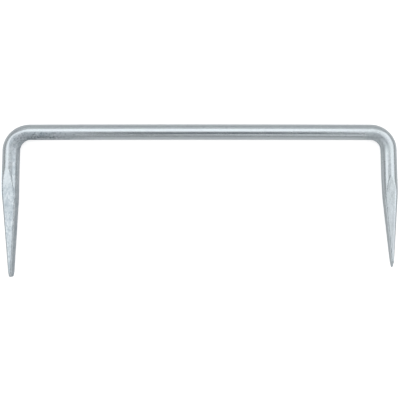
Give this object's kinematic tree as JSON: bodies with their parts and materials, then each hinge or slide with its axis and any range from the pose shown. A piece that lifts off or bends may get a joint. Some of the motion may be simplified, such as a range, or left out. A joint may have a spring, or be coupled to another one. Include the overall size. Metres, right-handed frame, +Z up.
{
  "type": "log dog",
  "caption": "Log dog of round zinc-plated steel bar, its ends bent square to it and forged to tapered four-sided spikes that drive into timbers to hold them together.",
  "frame": {"origin": "middle of the bounding box, on the face the dog lies on", "axes": "the dog lies on its side: +X along the bar, the legs point to -Y, +Z up across the bar's thickness"},
  "size_m": [0.2, 0.077, 0.0078],
  "materials": {
    "zinc_plated_steel": "bright zinc plating on drawn steel bar, smooth and streaked along the bar, matt and faintly mottled on the bends and spikes"
  },
  "bodies": {
    "root": {"forged_bar": "zinc_plated_steel"}
  },
  "joints": []
}
